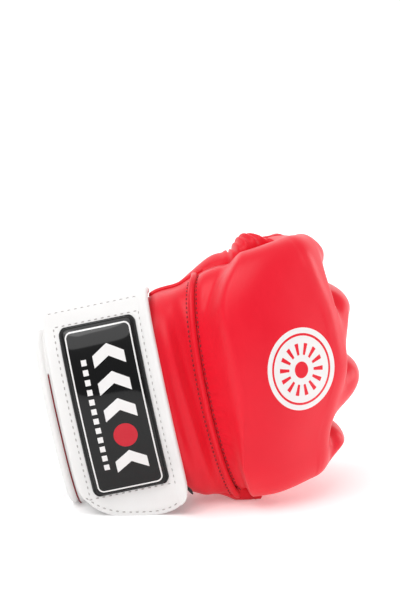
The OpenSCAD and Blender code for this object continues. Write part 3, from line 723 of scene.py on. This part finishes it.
def bend_on(t, h, w):
    """The pad's section carried on round the curl past its own edge."""
    thinner = 1 - THINNER * rise(t, THIN_FROM, THIN_RUN)
    wall = mix(SKIN_IN - INNER_LAP, SKIN_IN + pad_foam(KNUCKLE_AT, h) * thinner + LEATHER_T, w)
    b = sind(h) * (half_width(KNUCKLE_AT) + wall) * drawn_in(t, h)
    d = section(h, squareness(KNUCKLE_AT, h)) * (depth_of(KNUCKLE_AT, h) + wall)
    return bend(t, d, b, setback(b))


def roll_point(i, t, q, w):
    """q runs across the finger from -1 to 1: the pad's own face at the split, the finger's roll later."""
    h = mix(*columns[i], q / 2 + 0.5)
    foam = stall_foam(t) * mix(INNER_FOAM, 1, w)
    wall = STALL_SKIN_IN + LEATHER_T * w
    roll = stall_point(i, t, q * ROLL_TURN, mix(STALL_LINING_T + 0.2, wall, w), foam * w)
    return (pad_point if t <= KNUCKLE_AT else bend_on)(t, h, w).lerp(roll, roll_share(i, t, q))


def roll_face(i, side):
    """The outer face of finger i's roll, side 1, or the inner one, -1; they meet at its sides and its end."""
    def spot(u, v):
        t, q = mix(SPLIT_AT, STALL_END, u), 2 * v - 1
        round_off = mix(1, edge(v, 0.05), roll_share(i, t, q)) * edge(max(u, 0.5), 0.03)
        return roll_point(i, t, q, 0.5 + side * 0.5 * round_off)
    return spot


def finger_under(i, u, s, w):
    """Underside from the palm bar to the finger end, creased across."""
    turn = mix(STALL_SPLIT - UNDER_LAP, 360 + UNDER_LAP - STALL_SPLIT, s)
    crease = UNDER_CREASE * math.sin(u * 34 + 2 * math.sin(s * 5)) * math.sin(math.pi * s)
    wall = STALL_SKIN_IN - 0.2 + LEATHER_T * w + crease
    return stall_point(i, mix(UNDER_FROM, STALL_END, u), turn, wall, 0)


def finger_hem(i, u, s, w):
    """Gathered hem that turns in over the felt at the open end."""
    turn = 360 * u
    gather = 0.4 * cosd(11 * turn) + 0.3 * cosd(5 * turn + 40)
    wall = mix(STALL_LINING_T, STALL_LINING_T + LEATHER_T + FOAM_TIP / 2 + gather * (0.4 + s), w)
    return stall_point(i, mix(STALL_END - 1, HEM_END, s), turn, wall - HEM_TUCK * s ** 3, 0)


def finger_felt(i, u, s, w):
    """The felt starts past the knuckle and is narrower there, which leaves room for the motion."""
    wall = mix(-0.4, STALL_LINING_T - 0.2, w) - FELT_ROOM * (1 - rise(s, 0, 0.75))
    return stall_point(i, mix(FELT_FROM, HEM_END - 1, s), 360 * u, wall, 0)


for i, finger in enumerate(FINGERS):
    body = finger + "_finger"
    bm = bmesh.new()
    for side in (1, -1):
        add_grid(bm, LONG_CELLS, FINGER_CELLS, roll_face(i, side))
    add_grid(bm, FINGER_CELLS, 1, lambda v, k: roll_face(i, 2 * k - 1)(0, v))
    for v in (0, 1):
        add_grid(bm, LONG_CELLS, 1, lambda u, k: roll_face(i, 2 * k - 1)(u, v))
    weld(bm)
    roll = piece(finger + "_roll", bm, printed_leather, None, "red_leather",
                 (finger + "_shell", finger + "_foam"))
    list(knuckle_turn(i))
    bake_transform(roll)
    underside = skin_piece(finger + "_underside", (60, 24), partial(finger_under, i), (0.02, 0.04),
                           soft_leather, None, "red_leather", (finger + "_under",))
    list(knuckle_turn(i))
    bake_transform(underside)
    skin_piece(finger + "_gathered_hem", (144, 12), partial(finger_hem, i), (0, 0.25),
               soft_leather, body, "red_leather", (finger + "_hem",))
    skin_piece(finger + "_felt", (48, 30), partial(finger_felt, i), (0, 0.03),
               black_felt, body, "black_felt", (finger + "_lining",))

# Wrist panel and welt

SIDES_FROM = CUFF_FRONT - 1
PANEL_OFF, PANEL_T, WELT_R, WELT_OFF, WELT_ENDS = 0.9, 1.5, 1.5, 2.8, (-86, 94)
CREST, CREST_AT, HOLLOW, HOLLOW_AT, PANEL_PUCKER, PANEL_CREASE = 1.3, -32, 0.7, -37, 0.3, 0.5


def panel_point(u, s, w):
    """The wrist panel: a fold across it, a hollow behind that, fine creases, and puckers at the welt."""
    h = mix(-PAD_EDGE, PAD_EDGE, s)
    t = mix(SIDES_FROM, welt(h) - 0.5, u)
    fade = max(0.0, cosd(h)) * math.sin(math.pi * clamp(u * 1.1))
    fold = CREST * hump(t + 2 * sind(3 * h), CREST_AT, 3) - HOLLOW * hump(t, HOLLOW_AT, 2.2)
    fold += PANEL_PUCKER * rise(u, 0.7, 0.3) * seam_pucker(h)
    crease = PANEL_CREASE * math.sin(0.9 * t + 0.05 * h)
    wall = LINING_T + sleeve(t) + sag(t, h) + PANEL_OFF + PANEL_T * w + fade * (fold + crease)
    return wall_point(t, h, wall, 1.6 * (1 - w))


skin_piece("wrist_leather", (60, 90), panel_point, (0.03, 0.02),
           soft_leather, "hand", "red_leather", ("wrist_panel",))
welt_path = [wall_point(welt(h), h, LINING_T + sag(welt(h), h) + WELT_OFF, 0.6)
             for h in (mix(*WELT_ENDS, k / 160) for k in range(161))]
tube_piece("welt", welt_path, (WELT_R, WELT_R), 12, soft_leather, "hand", "red_leather", ("seam_welt",))

# Linings of the hand and the wrist


def hand_lining(u, s, w):
    t, h = mix(CUFF_FRONT - 2, KNUCKLE_AT + 4, u), mix(-PAD_EDGE, PAD_EDGE, s)
    return wall_point(t, h, LINING_T * w, 4 - 0.8 * w)


def wrist_lining(u, s, w):
    return wall_point(mix(CUFF_BACK, CUFF_FRONT, s), 360 * u, LINING_T * w, 3 - w)


skin_piece("hand_felt", (60, 60), hand_lining, (0.02, 0.02),
           black_felt, "hand", "black_felt", ("hand_lining",))
skin_piece("cuff_felt", (96, 20), wrist_lining, (0, 0.03),
           black_felt, "hand", "black_felt", ("cuff_lining",))

# Sides and palm: each panel starts as part of the hand and goes over into the side of a finger

INDEX_SIDE_END, LITTLE_SIDE_END, PALM_END = 78, 74, 52
PLEAT_FROM, PLEAT_TO, PLEAT_PITCH, PLEAT_FADE, HAND_PLEAT, INDEX_PLEAT = -4, 62, 8.5, 4, 0.9, 1.3
GATHER, PUFF, PUFF_AT, PUFF_BEFORE, PUFF_AFTER = 7, 8, 36, 30, 18
CUSHION, LITTLE_TUCK, PALM_WAVE, PIPING_R = 3.5, 1.6, 0.4, 1.2


def pleat(t):
    """Overlapping tucks: each rises slowly and drops sharply."""
    if not PLEAT_FROM < t < PLEAT_TO:
        return 0.0
    k = (t - PLEAT_FROM) / PLEAT_PITCH % 1
    return rise(t, PLEAT_FROM, PLEAT_FADE) * fall(t, PLEAT_TO, PLEAT_FADE) * math.sin(math.pi * k ** 0.8) ** 2


def index_side(u, s, w):
    """The pleated side of the hand, gathered over the thumb opening and puffed beside the pad's edge."""
    t, h = mix(SIDES_FROM, INDEX_SIDE_END, u), mix(PAD_EDGE - 3, OPENING_EDGE + 4, s)
    gather = GATHER * hump(t, -2, 22)
    across = max(0.0, math.sin(math.pi * s))
    bulge = across ** 0.6 * (1.2 + gather + HAND_PLEAT * pleat(t))
    hand = wall_point(t, h, LINING_T + sleeve(t) + LEATHER_T * w + bulge * mix(0.6, 1, w))
    by_pad = max(0.0, math.sin(math.pi * s ** 0.4)) ** 1.5
    puff = PUFF * hump(t, PUFF_AT, PUFF_BEFORE if t < PUFF_AT else PUFF_AFTER)
    wall = STALL_SKIN_IN + LEATHER_T * w + by_pad * (0.9 + puff + INDEX_PLEAT * pleat(t))
    tucked = mix(82, 56, rise(t, 40, 20))
    finger = stall_point(0, t, mix(tucked, 172, s), wall, 0)
    return hand.lerp(finger, rise(t, -14, 36))


def little_side(u, s, w):
    """The cushion under the pad's lower edge, with one tuck across it; it carries the glove."""
    t, h = mix(SIDES_FROM, LITTLE_SIDE_END, u), mix(-70, -PAD_EDGE - 28, s)
    tuck = LITTLE_TUCK * hump(t + 9 * s, -4, 2.5)
    across = max(0.0, math.sin(math.pi * s ** 0.7))
    bulge = across * (CUSHION * rise(t, -38, 24) * fall(t, 14, 22) - tuck)
    hang = rise(s, 0, 0.3) * fall(s, 1, 0.4) * fall(t, 18, 24)
    wall = LINING_T + sleeve(t) + (LEATHER_T + bulge + sag(t, h)) * w
    hand = wall_point(t, h, wall, 1.2 * (1 - w), draw=1 - hang)
    finger = stall_point(3, t, mix(-82, -150, s), STALL_SKIN_IN + LEATHER_T * w + 0.6 * across, 0)
    return hand.lerp(finger, rise(t, 4, 28))


def palm(u, s, w):
    """The heel of the hand, down to the little finger's underside."""
    t, h = mix(SIDES_FROM, PALM_END, u), mix(-PAD_EDGE - 25, -PALM_EDGE - 7, s)
    wave = PALM_WAVE * math.sin(0.4 * t + 3 * s)
    hand = wall_point(t, h, LINING_T + sleeve(t) + LEATHER_T * w + wave, 1.2 * (1 - w))
    finger = stall_point(3, t, mix(-146, -205, s), STALL_SKIN_IN + 0.3 + LEATHER_T * w + wave, 0)
    return hand.lerp(finger, rise(t, 2, 26))


index_panel = skin_piece("index_side", (220, 30), index_side, (0.02, 0.06),
                         soft_leather, None, "red_leather", ("index_side_panel",))
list(knuckle_turn(0))
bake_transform(index_panel)
little_cushion = skin_piece("little_side", (150, 24), little_side, (0.02, 0.06),
                            soft_leather, None, "red_leather", ("little_side_panel",))
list(knuckle_turn(3))
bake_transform(little_cushion)
palm_leather = skin_piece("palm_leather", (90, 20), palm, (0.03, 0.06),
                          soft_leather, None, "red_leather", ("palm_panel",))
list(knuckle_turn(3))
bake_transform(palm_leather)
piping_path = [wall_point(t, PAD_EDGE - 1, LINING_T + sleeve(t) + LEATHER_T + 1)
               for t in (mix(CUFF_FRONT - 0.5, -14, k / 40) for k in range(41))]
tube_piece("edge_piping", piping_path, (PIPING_R, PIPING_R), 10,
           soft_leather, "hand", "red_leather", ("top_piping",))

# One white binding runs up the thumb side, across the finger bases and down the palm

BINDING_RADII, BINDING_PAST, BINDING_OFF, BINDING_UNDER = (4.4, 1.5), 6, 1.2, 3
# A second line over the binding says which way its flat side faces
OVER_OFF, OVER_UNDER = 14, 10
SIDE_STATIONS, BAR_AT, BAR_STATIONS = (-42, -34, -24, -14, -4), 18, (36, 24, 12, 0, -12, -24)


def smooth_path(points, count):
    """A Catmull-Rom curve through points, at an even count."""
    out = []
    for k in range(count + 1):
        x = k / count * (len(points) - 1)
        j = min(int(x), len(points) - 2)
        f = x - j
        p0, p1, p2, p3 = (points[max(0, min(len(points) - 1, j + o))] for o in (-1, 0, 1, 2))
        out.append(0.5 * (2 * p1 + (p2 - p0) * f + (2 * p0 - 5 * p1 + 4 * p2 - p3) * f ** 2
                          + (3 * p1 - p0 - 3 * p2 + p3) * f ** 3))
    return out


def binding_course(wall, bar_depth):
    """The binding's line: off the hollow by a wall, which changes along the hand, and at a depth under the
    fingers."""
    thumb = [wall_point(t, OPENING_EDGE + BINDING_PAST, wall(t)) for t in SIDE_STATIONS]
    bar = [bend(BAR_AT, -FINGER_D - bar_depth, b, setback(b)) for b in BAR_STATIONS]
    heel = [wall_point(t, -PALM_EDGE - BINDING_PAST, wall(t)) for t in reversed(SIDE_STATIONS)]
    return smooth_path(thumb + bar + heel, 220)


binding_path = binding_course(lambda t: LINING_T + sleeve(t) + BINDING_OFF, BINDING_UNDER)
over_binding = binding_course(lambda t: OVER_OFF, OVER_UNDER)
tube_piece("white_binding", binding_path, BINDING_RADII, 16,
           white_leather, "hand", "white_leather", ("thumb_binding", "palm_binding", "palm_bar"),
           normals=[b - a for a, b in zip(binding_path, over_binding)])

# Cuff with its rolled rim and hem, and the fixed part of the strap

RIM_AT, RIM_R, RIM_SEAM_R = CUFF_BACK - 2.4, 2.3, 0.35
RIM_TURNS = [360 * k / 120 for k in range(120)]
# Angles round the wrist between which each piece lies
RIM_SEAM_ENDS, HEM_ENDS, ROOT_ENDS, LOOP_ENDS = (-84, 40), (FOLD_AT + 10, 266), (FOLD_AT + 9, 250), (-78, -20)


def cuff_band(u, s, w):
    return wall_point(mix(CUFF_BACK - 1, CUFF_FRONT, s), 360 * u, mix(CUFF_IN, CUFF_OUT, w), 1.6 * (1 - w))


def cuff_edge(u, s, w):
    t, h = mix(CUFF_FRONT - 6, CUFF_FRONT + 0.5, s), mix(*HEM_ENDS, u)
    return wall_point(t, h, TAPE_IN - 0.4 + 1.6 * w, 1 - w)


def strap_root(u, s, w):
    t, h = mix(STRAP_BACK + 2, CUFF_FRONT - 6.3, s), mix(*ROOT_ENDS, u)
    return wall_point(t, h, TAPE_IN - 0.2 + fold_rise(h) + STRAP_T * w, 1 - w)


def loop_tape(u, s, w):
    t, h = mix(STRAP_BACK + 6, CUFF_FRONT - 0.3, s), mix(*LOOP_ENDS, u)
    return wall_point(t, h, mix(TAPE_IN - 0.2, LOOP_OUT, w), 0.9 * (1 - w))


skin_piece("cuff_band", (128, 40), cuff_band, (0, 0.03),
           white_leather, "hand", "white_leather", ("cuff",))
tube_piece("cuff_roll", [wall_point(RIM_AT, h, CUFF_OUT / 2, 2.2) for h in RIM_TURNS], (RIM_R, RIM_R), 12,
           white_leather, "hand", "white_leather", ("cuff_rim",),
           normals=[wall_point(RIM_AT, h, 20) - wall_point(RIM_AT, h, 0) for h in RIM_TURNS], closed=True)
rim_seam = [wall_point(CUFF_BACK - 0.3, mix(*RIM_SEAM_ENDS, k / 80), CUFF_OUT + 0.1, 0.4) for k in range(81)]
tube_piece("rim_piping", rim_seam, (RIM_SEAM_R, RIM_SEAM_R), 8, red_thread, "hand", "red_leather")
skin_piece("cuff_edge", (96, 10), cuff_edge, (0.01, 0.3),
           white_leather, "hand", "white_leather", ("cuff_hem",))
skin_piece("strap_root", (110, 24), strap_root, (0.02, 0.04),
           white_leather, "hand", "white_leather", ("strap_base",))
skin_piece("loop_tape", (40, 24), loop_tape, (0.02, 0.03),
           touch_tape, "hand", "touch_tape", ("loop_patch",))

# The strap's free end: one band from the fold to its round end, with a rolled edge, tape and badge

STRAP_MID, STRAP_FROM = (STRAP_BACK + STRAP_FRONT) / 2, FOLD_AT + 15
FRONT_RISE, FRONT_RUN, END_OFF, HOOK_ENDS = 1.2, 4, 6, (-22, -60)
DOME_EDGE, DOME, DOME_INSET, DOME_INSET_TURN = 0.4, 1.3, 1.2, 1.6


def strap_wall(t, h, w):
    """The band comes off the wrist's own layer at the fold, its front edge is rolled, its end stands off."""
    k = (t - STRAP_FRONT + ROLL_W / 2) / (ROLL_W / 2)
    rolled = math.sqrt(max(0.0, 1 - k * k))
    layer = mix(TAPE_IN, STRAP_IN, fall(h, STRAP_FROM, 22))
    fold = fold_rise(h) + FRONT_RISE * rise(t, STRAP_FRONT - FRONT_RUN, FRONT_RUN)
    return layer + fold + END_OFF * fall(h, -46, 28) + (STRAP_T + rolled) * w


def strap_spot(u, s, w):
    t = mix(STRAP_BACK, STRAP_FRONT, s)
    h = mix(STRAP_FROM, strap_reach(t), u)
    return strap_point(t, h, strap_wall(t, h, w), 0.3 * (1 - w))


def hook_spot(u, s, w):
    """The tape's lower corner shows beside the strap's end."""
    shows = rise(u, 0.8, 0.1)
    t, h = mix(STRAP_BACK + 16, STRAP_FRONT - 3 + 4.6 * shows, s), mix(*HOOK_ENDS, u)
    return strap_point(t, h, mix(HOOK_IN, HOOK_OUT + 0.3, w) + 3 * shows * rise(s, 0.875, 0.125), 0.3)


def rounded(y, corner):
    """Half width of a badge, from 0 to 1, near its ends at y -1 and 1, whose corners are rounded."""
    k = max(0.0, (abs(y) - 1 + corner) / corner)
    return 1 - 2 * corner * (1 - math.sqrt(max(0.0, 1 - k * k)))


def backing_spot(u, s, w):
    y = 2 * u - 1
    t, h = BADGE_MID + (s - 0.5) * BADGE_W * rounded(y, 0.1), BADGE_TURN - BADGE_SPAN * y
    return strap_point(t, h, mix(BADGE_IN - 0.4, BADGE_OUT, w) + fold_rise(h))


def dome_spot(u, s, w):
    x, y = 2 * s - 1, 2 * u - 1
    t = BADGE_MID + (BADGE_W / 2 - DOME_INSET) * rounded(y, 0.09) * x
    h = BADGE_TURN - (BADGE_SPAN - DOME_INSET_TURN) * y
    dome = DOME_EDGE + DOME * math.sqrt(max(0.0, 1 - x ** 4)) * math.sqrt(max(0.0, 1 - abs(y) ** 10))
    return strap_point(t, h, BADGE_OUT - 0.2 + (dome + 0.2) * w + fold_rise(h))


strap = skin_piece("strap_band", (120, 60), strap_spot, (0.015, 0.035),
                   white_leather, None, "white_leather", ("strap_tab", "strap_roll"))
strap_point(STRAP_MID, FOLD_AT + 8, STRAP_OUT) * MM
strap_point(STRAP_MID, FOLD_AT - 12, STRAP_OUT) * MM
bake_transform(strap)
skin_piece("hook_tape", (40, 40), hook_spot, (0.03, 0.03),
           touch_tape, "strap", "touch_tape", ("hook_patch",))
skin_piece("badge_backing", (90, 30), backing_spot, (0.01, 0.02),
           badge_cloth, "strap", "badge_backing", ("badge_base",))
skin_piece("badge_gloss", (110, 40), dome_spot, (0.012, 0.03),
           badge_rubber, "strap", "badge_gloss", ("badge_dome",))

# Stitching: pitch, length and half thickness of the threads

WELT_STITCH, STRAP_STITCH, SEAM_ENDS = (2.2, 1.5, 0.34), (3, 1.7, 0.32), (-84, 88)
ACROSS, ALONG = 20, 60


def on_strap(points):
    return [strap_point(t, h, strap_wall(t, h, 1) + 0.02) for t, h in points]


seam_angles = [mix(*SEAM_ENDS, k / 160) for k in range(161)]
panel_row = [panel_point(0.9, h / PAD_EDGE / 2 + 0.5, 1) for h in seam_angles]
pad_row = [pad_point(welt(h) + 2.5, h, 0.94) for h in seam_angles]
stitches("welt_stitches", [panel_row, pad_row], *WELT_STITCH, red_thread, "hand", "red_leather")

round_badge = [(1 - 2 * k / ACROSS, 1) for k in range(ACROSS)]
round_badge += [(-1, 1 - 2 * k / ALONG) for k in range(ALONG)]
round_badge += [(-1 + 2 * k / ACROSS, -1) for k in range(ACROSS)]
round_badge += [(1, -1 + 2 * k / ALONG) for k in range(ALONG + 1)]
badge_row = [(BADGE_MID + x * (BADGE_W / 2 + 2), BADGE_TURN + y * (BADGE_SPAN + 2.2)) for x, y in round_badge]
end_row = [(t, strap_reach(t) + 4.5)
           for t in (mix(STRAP_BACK + 2.5, STRAP_FRONT - 7, k / 60) for k in range(61))]
top_row = [(t, FOLD_AT - 4) for t in (mix(STRAP_BACK + 2, STRAP_FRONT - 6, k / 30) for k in range(31))]
stitches("strap_stitches", [on_strap(row) for row in (badge_row, end_row, top_row)], *STRAP_STITCH,
         white_thread_painted_shade, "strap", "white_leather")

# Floor, light and camera

FLOOR_HALF = 6
CAMERA_UP, CAMERA_OFF, CAMERA_LENS, CAMERA_AIM = math.radians(12), 1.2, 158, Vector((-0.0265, 0.0, 0.093))

scene = bpy.context.scene
# Pale paper: matt, with a faint glow that keeps the red from tinting it
floor_paint, shader = new_material("pale_floor")
shader.inputs["Base Color"].default_value = linear("#FBFBFB")
shader.inputs["Roughness"].default_value = 0.9
shader.inputs["Emission Color"].default_value = linear("#FFFFFF")
shader.inputs["Emission Strength"].default_value = 0.2
bm = bmesh.new()
bmesh.ops.create_grid(bm, x_segments=1, y_segments=1, size=FLOOR_HALF)
mesh = bpy.data.meshes.new("floor")
bm.to_mesh(mesh)
bm.free()
mesh.materials.append(floor_paint)
floor = bpy.data.objects.new("floor", mesh)
scene.collection.objects.link(floor)

# White all round: dim at the front, brighter from above and brightest behind
world = bpy.data.worlds.new("studio")
scene.world = world
world.use_nodes = True
tree = world.node_tree
tree.nodes.clear()
way = add(tree, "ShaderNodeSeparateXYZ", {"Vector": add(tree, "ShaderNodeTexCoord").outputs["Generated"]})
above = add(tree, "ShaderNodeMapRange", {"Value": way.outputs["Z"], "From Min": 0.0, "From Max": 0.9,
                                         "To Min": 0.28, "To Max": 0.58}, interpolation_type="SMOOTHSTEP")
behind = add(tree, "ShaderNodeMapRange", {"Value": way.outputs["Y"], "From Min": -0.1, "From Max": 0.8,
                                          "To Min": 0.0, "To Max": 1.25}, interpolation_type="SMOOTHSTEP")
glow = add(tree, "ShaderNodeMath", {0: above.outputs["Result"], 1: behind.outputs["Result"]},
           operation="MAXIMUM")
fill = add(tree, "ShaderNodeBackground", {"Color": linear("#FFFFFF"), "Strength": glow.outputs["Value"]})
add(tree, "ShaderNodeOutputWorld", {"Surface": fill.outputs["Background"]})


def lamp(name, kind, place, aim, power, **settings):
    light = bpy.data.lights.new(name, kind)
    light.energy = power
    for key, value in settings.items():
        setattr(light, key, value)
    made = bpy.data.objects.new(name, light)
    made.location = place
    made.rotation_euler = (Vector(aim) - Vector(place)).to_track_quat("-Z", "Y").to_euler()
    scene.collection.objects.link(made)


lamp("key", "SUN", (-0.4, -0.6, 1.1), (0, 0, 0), 1.5, angle=math.radians(60))
lamp("top_box", "AREA", (-0.35, -0.3, 0.7), (0, 0, 0.06), 0.6, shape="RECTANGLE", size=0.35, size_y=0.2)
lamp("side_box", "AREA", (0.7, 0.2, 0.25), (0.03, 0, 0.06), 1.6, shape="RECTANGLE", size=0.2, size_y=0.4)

camera = bpy.data.objects.new("camera", bpy.data.cameras.new("camera"))
camera.data.lens = CAMERA_LENS
camera.location = CAMERA_AIM + CAMERA_OFF * Vector((0, -math.cos(CAMERA_UP), math.sin(CAMERA_UP)))
camera.rotation_euler = (CAMERA_AIM - camera.location).to_track_quat("-Z", "Y").to_euler()
scene.collection.objects.link(camera)
scene.camera = camera
scene.view_settings.view_transform = "Standard"
